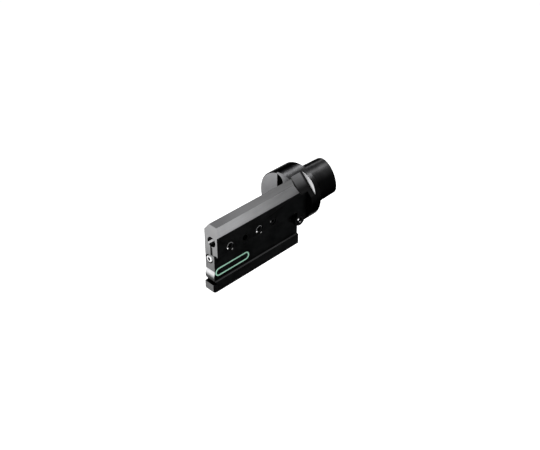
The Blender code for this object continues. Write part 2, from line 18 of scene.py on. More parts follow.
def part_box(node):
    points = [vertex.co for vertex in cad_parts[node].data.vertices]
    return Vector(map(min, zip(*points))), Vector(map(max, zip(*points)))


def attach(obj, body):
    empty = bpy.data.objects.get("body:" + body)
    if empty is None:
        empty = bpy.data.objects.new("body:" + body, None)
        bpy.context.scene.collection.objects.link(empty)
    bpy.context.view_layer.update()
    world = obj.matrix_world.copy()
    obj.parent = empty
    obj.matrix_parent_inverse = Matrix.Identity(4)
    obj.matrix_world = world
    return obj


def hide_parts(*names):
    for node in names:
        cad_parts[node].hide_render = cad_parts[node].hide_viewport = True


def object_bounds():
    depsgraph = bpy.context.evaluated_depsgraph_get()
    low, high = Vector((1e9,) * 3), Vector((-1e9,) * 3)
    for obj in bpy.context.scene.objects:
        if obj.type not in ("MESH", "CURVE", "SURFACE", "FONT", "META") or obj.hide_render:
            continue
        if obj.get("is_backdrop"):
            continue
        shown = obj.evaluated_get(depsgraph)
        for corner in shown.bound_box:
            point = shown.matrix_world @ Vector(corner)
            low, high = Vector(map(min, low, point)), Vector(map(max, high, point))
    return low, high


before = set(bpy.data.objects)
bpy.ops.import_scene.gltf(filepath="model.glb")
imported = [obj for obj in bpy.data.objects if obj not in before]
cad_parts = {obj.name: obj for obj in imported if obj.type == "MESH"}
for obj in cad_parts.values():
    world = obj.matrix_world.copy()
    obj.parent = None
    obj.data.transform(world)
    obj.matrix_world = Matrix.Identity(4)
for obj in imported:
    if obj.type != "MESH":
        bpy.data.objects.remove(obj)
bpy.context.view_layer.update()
BODY = "root"
LOG = logging.getLogger("adapter")
WHITE = (1.0, 1.0, 1.0, 1.0)

Color = tuple[float, float, float]
Point = tuple[float, float, float]
Span = tuple[float, float]
Socket = bpy.types.NodeSocket

# Local Z out of the blade side, local Z forward out of the front, and local (x, y) laid on (Y, Z)
OUT_OF_SIDE = Matrix.Rotation(math.pi / 2, 4, "Y")
FORWARD = Matrix.Rotation(math.pi / 2, 4, "X")
ON_SIDE = Matrix(((0, 0, 1, 0), (1, 0, 0, 0), (0, 1, 0, 0), (0, 0, 0, 1)))


class Nodes:
    """Short way to build a node tree."""

    def __init__(self, tree: bpy.types.NodeTree) -> None:
        """Keep the tree.

        Args:
            tree: The node tree to build in.
        """
        self.tree = tree

    def add(self, kind: str, **settings: object) -> bpy.types.Node:
        """Add a node.

        Args:
            kind: The node's type name.
            **settings: Properties to set on it.

        Returns:
            The new node.
        """
        node = self.tree.nodes.new(kind)
        for name, value in settings.items():
            setattr(node, name, value)
        return node

    def link(self, source: Socket, target: Socket) -> None:
        """Join an output socket to an input socket."""
        self.tree.links.new(source, target)

    def math(self, operation: str, first: Union[Socket, float], second: Union[Socket, float] = 0.0) -> Socket:
        """Add a Math node.

        Args:
            operation: The Math node's operation.
            first: A socket or a number.
            second: A socket or a number.

        Returns:
            The node's output socket.
        """
        node = self.add("ShaderNodeMath", operation=operation)
        for socket, value in zip(node.inputs, (first, second)):
            if isinstance(value, Socket):
                self.link(value, socket)
            else:
                socket.default_value = value
        return node.outputs[0]

    def ramp(self, value: Socket, span: Span, start: float, end: float) -> Socket:
        """Map a value smoothly from one range to another, clamped at its ends.

        Args:
            value: The socket to map.
            span: The values where the ramp starts and ends.
            start: The result where it starts.
            end: The result where it ends.

        Returns:
            The mapped socket.
        """
        node = self.add("ShaderNodeMapRange", interpolation_type="SMOOTHSTEP")
        self.link(value, node.inputs["Value"])
        for name, number in zip(("From Min", "From Max", "To Min", "To Max"), (*span, start, end)):
            node.inputs[name].default_value = number
        return node.outputs["Result"]

    def mix(self, factor: Socket, first: Union[Socket, Color], second: Union[Socket, Color]) -> Socket:
        """Mix two colours.

        Args:
            factor: The share of the second colour.
            first: A socket or a colour.
            second: A socket or a colour.

        Returns:
            The mixed colour's socket.
        """
        node = self.add("ShaderNodeMix", data_type="RGBA")
        self.link(factor, node.inputs["Factor"])
        colors = [socket for socket in node.inputs if socket.type == "RGBA"]
        for socket, value in zip(colors, (first, second)):
            if isinstance(value, Socket):
                self.link(value, socket)
            else:
                socket.default_value = (*value, 1.0)
        return next(socket for socket in node.outputs if socket.type == "RGBA")

    def scaled(self, vector: Socket, scale: Socket) -> Socket:
        """Scale a vector or a colour by a number.

        Args:
            vector: The socket to scale.
            scale: The number's socket.

        Returns:
            The scaled socket.
        """
        node = self.add("ShaderNodeVectorMath", operation="SCALE")
        self.link(vector, node.inputs[0])
        self.link(scale, node.inputs["Scale"])
        return node.outputs[0]

    def split(self, vector: Socket) -> tuple[Socket, ...]:
        """Split a vector into its three parts.

        Args:
            vector: The vector's socket.

        Returns:
            The sockets of X, Y and Z.
        """
        node = self.add("ShaderNodeSeparateXYZ")
        self.link(vector, node.inputs[0])
        return tuple(node.outputs)


class Axis(Enum):
    """Axis of the tool."""

    X = 0
    Y = 1
    Z = 2


@dataclass(frozen=True)
class Spot:
    """Small spot of painted highlight or painted shade.

    Attributes:
        place: Its middle.
        radius: Its radius.
        grey: Its grey level.
    """

    place: Point
    radius: float
    grey: float

    def moved(self, origin: Vector) -> "Spot":
        """Copy the spot, with its place counted from an origin."""
        return replace(self, place=tuple(origin + Vector(self.place)))


@dataclass(frozen=True)
class Fade:
    """Gradual change of a finish's tone along one axis of the tool, used as painted light and shade.

    Attributes:
        axis: The axis.
        low: Coordinate where the change starts.
        high: Coordinate where it ends.
        share_low: Share of the tone at the low coordinate.
        share_high: Share of the tone at the high coordinate.
    """

    axis: Axis
    low: float
    high: float
    share_low: float = 1.0
    share_high: float = 1.0


class Marks(Enum):
    """Ways in which a surface was cut, with the density of its fine marks per metre along X, Y and Z."""

    ALONG = (900.0, 25.0, 900.0)
    ACROSS = (60.0, 1400.0, 60.0)
    ROUND = (1500.0, 1500.0, 0.0)
    MOTTLED = (500.0, 500.0, 500.0)


# How the finishes read their noise: its values at the dark and the light end, its detail and its density
GRAIN_SPAN = (0.3, 0.7)
GRAIN_DETAIL = 3.0
STAIN_SPAN = (0.35, 0.65)
STAIN_DETAIL = 2.0
STAIN_DENSITY = (90.0, 60.0, 90.0)

# Share by which the marks change the gloss, strength of their relief, and share of a spot that is even
GLOSS_SPREAD = 0.12
RELIEF_STRENGTH = 0.6
SPOT_CORE = 0.4

# Cosines between a face and its rounded edge at which the edge shows in full and not at all
EDGE_SPAN = (0.86, 0.99)
EDGE_SAMPLES = 4


@dataclass(frozen=True)
class Finish:
    """Metal or rubber surface with fine marks in its tone, gloss and relief.

    Attributes:
        name: The material's name.
        tone: Base colour.
        roughness: Mean roughness.
        metallic: Share of metal.
        specular: Specular level.
        rim: Share of the gloss that is left at grazing angles.
        marks: The way the fine marks run.
        contrast: Share by which the marks change the tone.
        clouds: Share by which slow stains change the tone.
        relief: Height of the marks.
        fades: Gradual changes of the tone, painted light and shade, if any.
        spots: Small spots of painted highlight or painted shade, if any.
        edge_tone: Colour of the worn edges, if they show.
        edge_width: Width of the worn edges.
    """

    name: str
    tone: Color
    roughness: float
    metallic: float
    specular: float = 0.5
    rim: float = 1.0
    marks: Marks = Marks.MOTTLED
    contrast: float = 0.15
    clouds: float = 0.05
    relief: float = 0.00001
    fades: tuple[Fade, ...] = ()
    spots: tuple[Spot, ...] = ()
    edge_tone: Optional[Color] = None
    edge_width: float = 0.00025

    def build(self) -> bpy.types.Material:
        """Make the material.

        Returns:
            The new material.
        """
        material = bpy.data.materials.new(self.name)
        material.use_nodes = True
        nodes = Nodes(material.node_tree)
        shader = material.node_tree.nodes["Principled BSDF"]
        shader.inputs["Metallic"].default_value = self.metallic
        shader.inputs["Specular IOR Level"].default_value = self.specular
        shader.inputs["Specular Tint"].default_value = (self.rim, self.rim, self.rim, 1.0)
        place = nodes.add("ShaderNodeTexCoord").outputs["Object"]
        grain = self._grain(nodes, place)
        nodes.link(self._tone(nodes, place, grain), shader.inputs["Base Color"])
        glossy, dull = (self.roughness * (1 + share) for share in (-GLOSS_SPREAD, GLOSS_SPREAD))
        nodes.link(nodes.ramp(grain, GRAIN_SPAN, glossy, dull), shader.inputs["Roughness"])
        bump = nodes.add("ShaderNodeBump")
        bump.inputs["Strength"].default_value = RELIEF_STRENGTH
        bump.inputs["Distance"].default_value = self.relief
        nodes.link(grain, bump.inputs["Height"])
        nodes.link(bump.outputs["Normal"], shader.inputs["Normal"])
        return material

    def _noise(self, nodes: Nodes, place: Socket, density: Point, detail: float) -> Socket:
        """Make noise around one half, with its own density along each axis.

        Args:
            nodes: The node tree.
            place: The coordinates.
            density: Waves per metre along each axis.
            detail: Number of finer layers.

        Returns:
            The noise's socket.
        """
        mapping = nodes.add("ShaderNodeMapping")
        mapping.inputs["Scale"].default_value = density
        nodes.link(place, mapping.inputs["Vector"])
        noise = nodes.add("ShaderNodeTexNoise")
        noise.inputs["Scale"].default_value = 1.0
        noise.inputs["Detail"].default_value = detail
        nodes.link(mapping.outputs["Vector"], noise.inputs["Vector"])
        return noise.outputs["Fac"]

    def _grain(self, nodes: Nodes, place: Socket) -> Socket:
        """Make the fine marks.

        Args:
            nodes: The node tree.
            place: The coordinates.

        Returns:
            The marks' socket, a value around one half.
        """
        if self.marks is Marks.ROUND:
            place = self._turned(nodes, place)
        return self._noise(nodes, place, self.marks.value, GRAIN_DETAIL)

    def _turned(self, nodes: Nodes, place: Socket) -> Socket:
        """Make coordinates that only change with the distance from the shank's axis and along it.

        Args:
            nodes: The node tree.
            place: The plain coordinates.

        Returns:
            The turned coordinates' socket.
        """
        x, y, z = nodes.split(place)
        squares = nodes.math("ADD", nodes.math("MULTIPLY", x, x), nodes.math("MULTIPLY", z, z))
        joined = nodes.add("ShaderNodeCombineXYZ")
        nodes.link(nodes.math("SQRT", squares), joined.inputs["X"])
        nodes.link(y, joined.inputs["Y"])
        return joined.outputs[0]

    def _tone(self, nodes: Nodes, place: Socket, grain: Socket) -> Socket:
        """Make the base colour, varied by the marks, slow stains, the fades of painted light and shade, the
        worn edges and the spots of painted highlight and shade.

        Args:
            nodes: The node tree.
            place: The coordinates.
            grain: The marks' socket.

        Returns:
            The colour's socket.
        """
        darker, lighter = (tuple(part * (1 + share) for part in self.tone)
                           for share in (-self.contrast, self.contrast))
        tone = nodes.mix(nodes.ramp(grain, GRAIN_SPAN, 0.0, 1.0), darker, lighter)
        stains = self._noise(nodes, place, STAIN_DENSITY, STAIN_DETAIL)
        tone = nodes.scaled(tone, nodes.ramp(stains, STAIN_SPAN, 1 - self.clouds, 1 + self.clouds))
        for fade in self.fades:
            along = nodes.split(place)[fade.axis.value]
            share = nodes.ramp(along, (fade.low, fade.high), fade.share_low, fade.share_high)
            tone = nodes.scaled(tone, share)
        if self.edge_tone:
            tone = self._worn(nodes, tone)
        for spot in self.spots:
            reach = nodes.add("ShaderNodeVectorMath", operation="DISTANCE")
            nodes.link(place, reach.inputs[0])
            reach.inputs[1].default_value = spot.place
            near = nodes.ramp(reach.outputs["Value"], (spot.radius * SPOT_CORE, spot.radius), 1.0, 0.0)
            tone = nodes.mix(near, tone, (spot.grey,) * 3)
        return tone

    def _worn(self, nodes: Nodes, tone: Socket) -> Socket:
        """Lighten the tone at the edges, where the surface turns sharply.

        Args:
            nodes: The node tree.
            tone: The tone's socket.

        Returns:
            The colour's socket.
        """
        bevel = nodes.add("ShaderNodeBevel", samples=EDGE_SAMPLES)
        bevel.inputs["Radius"].default_value = self.edge_width
        facing = nodes.add("ShaderNodeVectorMath", operation="DOT_PRODUCT")
        nodes.link(bevel.outputs[0], facing.inputs[0])
        nodes.link(nodes.add("ShaderNodeNewGeometry").outputs["Normal"], facing.inputs[1])
        edge = nodes.ramp(facing.outputs["Value"], EDGE_SPAN, 1.0, 0.0)
        return nodes.mix(edge, tone, self.edge_tone)


class Zone(Enum):
    """Surfaces of the one-piece body that were finished in different ways, or that carry painted light and
    shade of their own.
    """

    OXIDE = 0
    FRONT = 1
    TOP = 2
    BAND = 3
    PAD = 4
    DISC = 5
    TURNED = 6
    FLAT = 7
    CRESCENT = 8
    SHANK = 9
    LEDGE = 10
    BORE = 11
    CONTACT = 12
    STREAK = 13
    NOSE = 14


# X of the side face with the screws, and Y of the front face
SIDE_X = 0.0197
FRONT_Y = -0.1145


def steel(level: float, blue: float) -> Color:
    """Grey of steel, with a blue part of its own."""
    return (level, level, blue)


def beside(node: str, along: float, up: float, radius: float, grey: float) -> Spot:
    """Spot of painted highlight on the body's side face, by a screw.

    Args:
        node: The screw.
        along: Way back from the screw's middle.
        up: Way up from it.
        radius: The spot's radius.
        grey: Its grey level.

    Returns:
        The spot.
    """
    low, high = (Vector(corner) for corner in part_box(node))
    middle = (low + high) / 2
    return Spot((SIDE_X, middle.y + along, middle.z + up), radius, grey)


# Painted highlights on the side face, by the clamp screws and by the set screw's hole
SIDE_PAINTED_HIGHLIGHTS = (beside("clamp_screw_front", 0.0019, -0.0036, 0.0010, 0.22),
              beside("clamp_screw_rear", 0.0018, -0.0038, 0.0010, 0.22),
              beside("jaw_set_screw", -0.0030, 0.0012, 0.0011, 0.16))
# Painted shade: a row of dark spots along the right lip of the jaw's slit, which make the slit read darker
SLIT_LIP_X, SLIT_LIP_TOP, SLIT_SPOT_STEP, SLIT_SPOT_COUNT = 0.0134, 0.0028, 0.0008, 9
SLIT_PAINTED_SHADE = tuple(Spot((SLIT_LIP_X, FRONT_Y, SLIT_LIP_TOP - SLIT_SPOT_STEP * step), 0.0010, 0.004)
                   for step in range(SLIT_SPOT_COUNT))

# The kinds of surface that most zones of the body vary
# Besides their finish, the tones of the ground and milled zones hold painted light and shade: the top, nose
# and ledge are darker, the band, disc and milled wall lighter than the front
GROUND = Finish("ground_steel", steel(0.33, 0.335), roughness=0.42, metallic=0.15, specular=0.2,
                marks=Marks.ALONG, contrast=0.05)
# Painted highlight and shade: the black collar keeps its full tone only high up and to the right, and darkens
# to the left and downwards
BLACKENED = Finish("turned_black", steel(0.019, 0.0195), roughness=0.30, metallic=1.0, rim=0.3,
                   marks=Marks.ROUND, clouds=0.2, relief=0.000001,
                   fades=(Fade(Axis.X, -0.006, 0.002, 0.3, 1.0), Fade(Axis.Z, 0.012, 0.021, 0.22, 1.0)))

ZONE_FINISHES: dict[Zone, Finish] = {
    # The side's black oxide carries the painted highlights by the screws
    Zone.OXIDE: Finish(
        "black_oxide", (0.0030, 0.0031, 0.0032), roughness=0.42, metallic=1.0, rim=0.5, contrast=0.35,
        clouds=0.3, edge_tone=steel(0.014, 0.0145), spots=SIDE_PAINTED_HIGHLIGHTS),
    # Painted shade: the front darkens towards the bottom; painted highlight: below a Z of -0.0204 it is 5.6
    # times as bright, next to the pad; the slit's lip gets spots of painted shade
    Zone.FRONT: replace(
        GROUND, name="ground_front", specular=0.3, marks=Marks.ACROSS, spots=SLIT_PAINTED_SHADE,
        fades=(Fade(Axis.Z, -0.040, 0.030, 0.28, 1.0), Fade(Axis.Z, -0.0204, -0.0196, 5.6, 1.0))),
    # Painted shade: the nose is a darker copy of the front's ground steel
    Zone.NOSE: replace(
        GROUND, name="ground_nose", tone=steel(0.097, 0.099), specular=0.3, marks=Marks.ACROSS),
    # Painted shade: the top darkens towards the back
    Zone.TOP: replace(
        GROUND, name="ground_top", tone=steel(0.143, 0.147), specular=0.1,
        fades=(Fade(Axis.Y, -0.095, -0.018, 0.92, 0.12),)),
    # Painted shade: the band darkens towards the back
    Zone.BAND: replace(
        GROUND, name="ground_band", tone=steel(0.395, 0.405),
        fades=(Fade(Axis.Y, -0.112, -0.030, 1.0, 0.38),)),
    # Painted highlight: the pad is near white, with painted shade fading it to black at its foot
    Zone.PAD: Finish(
        "pad_painted_highlight", steel(0.88, 0.89), roughness=0.42, metallic=0.0, specular=0.1, marks=Marks.ACROSS,
        contrast=0.04, fades=(Fade(Axis.Z, -0.0268, -0.0224, 0.01, 1.0),)),
    # Painted shade: the collar's front face darkens towards +X, next to the block
    Zone.DISC: replace(
        GROUND, name="turned_face", tone=steel(0.375, 0.385), marks=Marks.ROUND, contrast=0.03,
        fades=(Fade(Axis.X, -0.003, 0.007, 1.0, 0.45),)),
    Zone.TURNED: BLACKENED,
    # Painted light and shadow: the milled flat is light on its left and dark towards +X, with a painted
    # shadow in its corner by the rear wall
    Zone.FLAT: Finish(
        "milled_flat", steel(0.21, 0.215), roughness=0.42, metallic=0.0, specular=0.05, marks=Marks.ALONG,
        contrast=0.06,
        fades=(Fade(Axis.X, 0.0095, 0.0172, 1.0, 0.01), Fade(Axis.Y, -0.0100, -0.0080, 1.0, 0.05))),
    Zone.CRESCENT: Finish(
        "milled_wall", steel(0.52, 0.525), roughness=0.36, metallic=0.3, marks=Marks.ALONG, contrast=0.05),
    # Painted highlight and shade: the same band along the shank's top, darkening to the left and downwards
    Zone.SHANK: replace(
        BLACKENED, name="ground_shank", roughness=0.32,
        fades=(Fade(Axis.X, -0.005, 0.001, 0.3, 1.0), Fade(Axis.Z, 0.007, 0.0145, 0.2, 1.0))),
    Zone.LEDGE: Finish(
        "ground_ledge", steel(0.040, 0.041), roughness=0.42, metallic=0.0, specular=0.05, marks=Marks.ALONG,
        contrast=0.12),
    Zone.BORE: Finish(
        "bore_shade", steel(0.010, 0.010), roughness=0.5, metallic=0.0, specular=0.1, marks=Marks.ACROSS,
        contrast=0.2),
    # Painted highlight: a near-white strip along the jaw bore's wall
    Zone.STREAK: Finish(
        "bore_painted_highlight", steel(0.95, 0.96), roughness=0.34, metallic=0.0, marks=Marks.ACROSS, contrast=0.04),
    Zone.CONTACT: Finish(
        "ground_contact_face", steel(0.20, 0.205), roughness=0.34, metallic=0.6, marks=Marks.ROUND,
        contrast=0.05),
}

SCREW_BLACK = Finish("screw_black", steel(0.005, 0.0054), roughness=0.30, metallic=1.0, rim=0.5, contrast=0.2)
# Bright rim of the clamp screws: a worn edge, which the screws' fade leaves bright only on its upper half as
# a painted highlight
SCREW_EDGE = Finish(
    "screw_worn_edge", steel(0.24, 0.245), roughness=0.26, metallic=1.0, rim=0.6, contrast=0.08)
STAINLESS = Finish("stainless", steel(0.80, 0.81), roughness=0.34, metallic=0.2, contrast=0.03)
# Painted shade: the seal darkens towards its groove, leaving only its crown light
SEAL_GREEN = Finish(
    "seal_rubber", (0.37, 0.68, 0.52), roughness=0.50, metallic=0.0, specular=0.3, contrast=0.06,
    relief=0.00002, fades=(Fade(Axis.X, 0.0151, 0.0157, 0.15, 1.0),))


# A reach past every end of the tool, and the way that its front faces
FAR = 1.0
ANYWHERE = (-FAR, FAR)
FORWARD_WAY = (0, -1, 0)


@dataclass(frozen=True)
class Patch:
    """Part of the body's surface: the faces in one box that face roughly one way.

    Attributes:
        zone: The finish that it has.
        x: Lowest and highest X of the faces' middles.
        y: The same along Y.
        z: The same along Z.
        facing: The way that the faces point, or nothing for any way.
        spread: Least cosine between a face and that way.
        around: Least and greatest distance from the shank's axis.
    """

    zone: Zone
    x: Span = ANYWHERE
    y: Span = ANYWHERE
    z: Span = ANYWHERE
    facing: Optional[Point] = None
    spread: float = 0.9
    around: Span = (0.0, FAR)

    def holds(self, centre: Vector, normal: Vector) -> bool:
        """Tell whether a face belongs here.

        Args:
            centre: The face's middle.
            normal: The way it faces.

        Returns:
            True if it does.
        """
        distance = math.hypot(centre.x, centre.z)
        spans = zip((self.x, self.y, self.z, self.around), (*centre, distance))
        if not all(low <= value <= high for (low, high), value in spans):
            return False
        return self.facing is None or normal.dot(Vector(self.facing).normalized()) > self.spread


@dataclass(frozen=True)
class Landmarks:
    """Places on the body that part its zones from each other.

    Attributes:
        fine: Margin round a flat face.
        front: Y of the block's front face.
        nose_top: Z between the nose and the pad.
        pad_top: Z of the pad's upper edge.
        top_foot: Z over which the faces that look up are the block's ground top.
        top_back: Y where the ground top ends.
        band_side: X past which the side is the ground band.
        band_foot: Z of the band's lower edge.
        band_back: Y where the band ends.
        ledge: X of the ledge's top, from the blade seat out.
        ledge_top: Z of the ledge's top.
        ledge_back: Y where the ledge ends.
        bore: X of the jaw bore's wall on both sides.
        bore_height: Z of its wall on both sides.
        bore_back: Y of its bottom.
        streak_way: The way that the painted highlight strip of its wall faces.
        collar_front: Y of the collar's front, with its rounded edge.
        disc_side: X where the ground front of the collar ends under the block.
        dark_edge: X up to which the edge of the collar's front is black; right of it the edge takes the
            disc's light tone as a painted highlight.
        wall: Y of the rear wall of the gripping flat.
        flat: Y of the gripping flat.
        flat_reach: Distance from the axis that only the round of the collar passes.
        collar_skin: Distance of the collar's round side from the axis.
        shank_skin: Distance of the shank's side from the axis.
    """

    fine: float = 0.0001
    front: float = FRONT_Y
    nose_top: float = -0.0308
    pad_top: float = -0.0215
    top_foot: float = 0.0170
    top_back: float = -0.0235
    band_side: float = 0.0195
    band_foot: float = 0.0149
    band_back: float = -0.0215
    ledge: Span = (0.0153, 0.0175)
    ledge_top: Span = (-0.0303, -0.0288)
    ledge_back: float = -0.0190
    bore: Span = (0.0085, 0.0181)
    bore_height: Span = (0.0041, 0.0136)
    bore_back: float = -0.0470
    streak_way: Point = (0.81, 0, 0.59)
    collar_front: Span = (-0.0245, -0.0229)
    disc_side: float = 0.0150
    dark_edge: float = -0.0050
    wall: Span = (-0.0100, -0.0005)
    flat: Span = (-0.0239, -0.0005)
    flat_reach: float = 0.0247
    collar_skin: Span = (0.0242, 0.0255)
    shank_skin: Span = (0.0148, 0.0200)

    def block_patches(self) -> tuple[Patch, ...]:
        """List the patches of the block, the more special first.

        Returns:
            The patches.
        """
        before, behind = (-FAR, self.front + self.fine), (self.front + self.fine, self.bore_back)
        return (
            Patch(Zone.PAD, y=(-FAR, self.front - self.fine), z=(self.nose_top, self.pad_top),
                  facing=FORWARD_WAY),
            Patch(Zone.NOSE, y=before, z=(-FAR, self.nose_top), facing=FORWARD_WAY),
            Patch(Zone.FRONT, y=before, facing=FORWARD_WAY),
            Patch(Zone.TOP, y=(-FAR, self.top_back), z=(self.top_foot, FAR), facing=(-0.3, 0, 1), spread=0.6),
            Patch(Zone.BAND, x=(self.band_side, FAR), y=(-FAR, self.band_back), z=(self.band_foot, FAR),
                  facing=(1, 0, 0), spread=0.6),
            Patch(Zone.LEDGE, x=self.ledge, y=(-FAR, self.ledge_back), z=self.ledge_top,
                  facing=(0, 0, 1), spread=0.5),
            Patch(Zone.STREAK, self.bore, behind, self.bore_height, self.streak_way, spread=0.978),
            Patch(Zone.BORE, self.bore, behind, self.bore_height),
        )

    def collar_patches(self) -> tuple[Patch, ...]:
        """List the patches of the collar and the shank, the more special first.

        Returns:
            The patches.
        """
        above = (0.0, FAR)
        return (
            Patch(Zone.DISC, (-FAR, self.disc_side), self.collar_front, facing=FORWARD_WAY, spread=0.95),
            # Right of dark_edge the chamfer round the collar's front takes the disc's light tone, a painted
            # highlight
            Patch(Zone.DISC, (self.dark_edge, self.disc_side), self.collar_front, above, FORWARD_WAY, 0.6),
            Patch(Zone.CRESCENT, above, self.wall, above, (0.35, -0.87, 0.35)),
            Patch(Zone.FLAT, above, self.flat, above, (1, 0, 1), 0.7, (0.0, self.flat_reach)),
            Patch(Zone.CONTACT, y=(-self.fine, self.fine), facing=(0, 1, 0)),
            Patch(Zone.TURNED, y=(self.collar_front[0], self.fine), around=self.collar_skin),
            Patch(Zone.SHANK, y=(self.fine, FAR), around=self.shank_skin),
        )


def piece(name: str, mesh: bpy.types.Mesh) -> bpy.types.Object:
    """Put a mesh in the scene.

    Args:
        name: The object's name.
        mesh: A mesh whose vertices are in their place.

    Returns:
        The new object, at the origin.
    """
    obj = bpy.data.objects.new(name, mesh)
    bpy.context.scene.collection.objects.link(obj)
    return obj


def stand_for(obj: bpy.types.Object, node: str) -> None:
    """Let a piece take the place of a solid of the frame, and report it.

    Args:
        obj: The finished piece.
        node: The solid it replaces.
    """
    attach(obj, BODY)
    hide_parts(node)
    LOG.info("%s stands for %s with %d faces", obj.name, node, len(obj.data.polygons))


def smooth(mesh: bpy.types.Mesh, angle: float = 30.0) -> None:
    """Shade a mesh smooth, with sharp edges past an angle in degrees."""
    mesh.shade_smooth()
    mesh.set_sharp_from_angle(angle=math.radians(angle))


class Shape(Enum):
    """Outline of one ring of a lofted piece."""

    ROUND = "round"
    HEXAGON = "hexagon"


@dataclass(frozen=True)
class Ring:
    """One ring of a lofted piece.

    Attributes:
        radius: Radius, to the corners of a hexagon.
        height: Place along the piece's axis.
        shape: Its outline.
    """

    radius: float
    height: float
    shape: Shape = Shape.ROUND

    def point(self, angle: float) -> Point:
        """Work out one of the ring's points.

        Args:
            angle: The point's angle in radians.

        Returns:
            The point.
        """
        reach = self.radius
        if self.shape is Shape.HEXAGON:
            side = math.radians(60)
            reach *= math.cos(side / 2) / math.cos(angle % side - side / 2)
        return (reach * math.cos(angle), reach * math.sin(angle), self.height)


def loft(rings: Sequence[Ring], steps: int) -> bmesh.types.BMesh:
    """Join rings round local Z into one closed skin.

    Args:
        rings: The rings in order, from the top's middle over the outside to the foot's middle.
            A ring of radius zero closes an end, and without one the last ring meets the first.
        steps: Points round each ring.

    Returns:
        The new bmesh.
    """
    bm = bmesh.new()
    loops = []
    for ring in rings:
        count = steps if ring.radius > 0 else 1
        loops.append([bm.verts.new(ring.point(2 * math.pi * k / steps)) for k in range(count)])
    closed = len(loops[0]) > 1
    pairs = list(zip(loops, loops[1:])) + ([(loops[-1], loops[0])] if closed else [])
    for first, second in pairs:
        for k in range(steps):
            after = (k + 1) % steps
            if len(first) == 1:
                bm.faces.new((first[0], second[k], second[after]))
            elif len(second) == 1:
                bm.faces.new((first[k], second[0], first[after]))
            else:
                bm.faces.new((first[k], second[k], second[after], first[after]))
    bmesh.ops.recalc_face_normals(bm, faces=bm.faces)
    return bm


def rounded(outer: float, top: float, radius: float, steps: int = 6) -> list[Ring]:
    """Rings round a convex outer edge, from the top face over to the side.

    Args:
        outer: Radius of the side.
        top: Height of the top face.
        radius: Radius of the edge.
        steps: Number of facets.

    Returns:
        The rings in order.
    """
    angles = [math.pi / 2 * (1 - k / steps) for k in range(steps + 1)]
    return [Ring(outer - radius + radius * math.cos(a), top - radius + radius * math.sin(a)) for a in angles]


@dataclass
class LoftedPiece:
    """Turned piece with one finish near its axis and another further out.

    Attributes:
        name: The object's name.
        rings: Its rings, in order.
        place: Where local Z starts and points.
        core: The finish near the axis.
        rim: The finish further out.
        core_reach: Distance from the axis where the finish changes.
        steps: Points round each ring.
    """

    name: str
    rings: Sequence[Ring]
    place: Matrix
    core: bpy.types.Material
    rim: bpy.types.Material
    core_reach: float
    steps: int = 96

    def build(self) -> bpy.types.Object:
        """Make the piece.

        Returns:
            The new object.
        """
        bm = loft(self.rings, self.steps)
        for face in bm.faces:
            middle = face.calc_center_median()
            face.material_index = int(math.hypot(middle.x, middle.y) > self.core_reach)
        bm.transform(self.place)
        mesh = bpy.data.meshes.new(self.name)
        bm.to_mesh(mesh)
        bm.free()
        mesh.materials.append(self.core)
        mesh.materials.append(self.rim)
        smooth(mesh)
        return piece(self.name, mesh)


@dataclass
class AdapterBody:
    """Block, collar and shank, one machined piece, with a finish for each zone.

    Attributes:
        node: The solid it dresses.
        weld: Distance within which points of the solid's loose triangles are one point.
        flat_angle: Turn in degrees under which two faces are one flat face.
        round_angle: Turn in degrees under which two faces are shaded as one round one.
        landmarks: The places that part its zones.
    """

    node: str = "adapter_body"
    weld: float = 0.000002
    flat_angle: float = 0.1
    round_angle: float = 15.0
    landmarks: Landmarks = Landmarks()

    def build(self) -> bpy.types.Object:
        """Make the dressed body.

        Returns:
            The new object.
        """
        mesh = self._clean_copy()
        for zone in Zone:
            mesh.materials.append(ZONE_FINISHES[zone].build())
        patches = self.landmarks.block_patches() + self.landmarks.collar_patches()
        for face in mesh.polygons:
            zones = (patch.zone for patch in patches if patch.holds(face.center, face.normal))
            face.material_index = next(zones, Zone.OXIDE).value
        smooth(mesh, self.round_angle)
        body = piece("body_dressed", mesh)
        stand_for(body, self.node)
        return body

    def _clean_copy(self) -> bpy.types.Mesh:
        """Copy the solid's mesh, with its triangles joined up and its flat faces whole.

        Returns:
            The copy.
        """
        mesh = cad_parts[self.node].data.copy()
        mesh.name = "body_dressed"
        mesh.materials.clear()
        bm = bmesh.new()
        bm.from_mesh(mesh)
        bmesh.ops.remove_doubles(bm, verts=bm.verts, dist=self.weld)
        bmesh.ops.dissolve_limit(bm, angle_limit=math.radians(self.flat_angle), verts=bm.verts,
                                 edges=bm.edges)
        bm.to_mesh(mesh)
        bm.free()
        mesh.update()
        return mesh


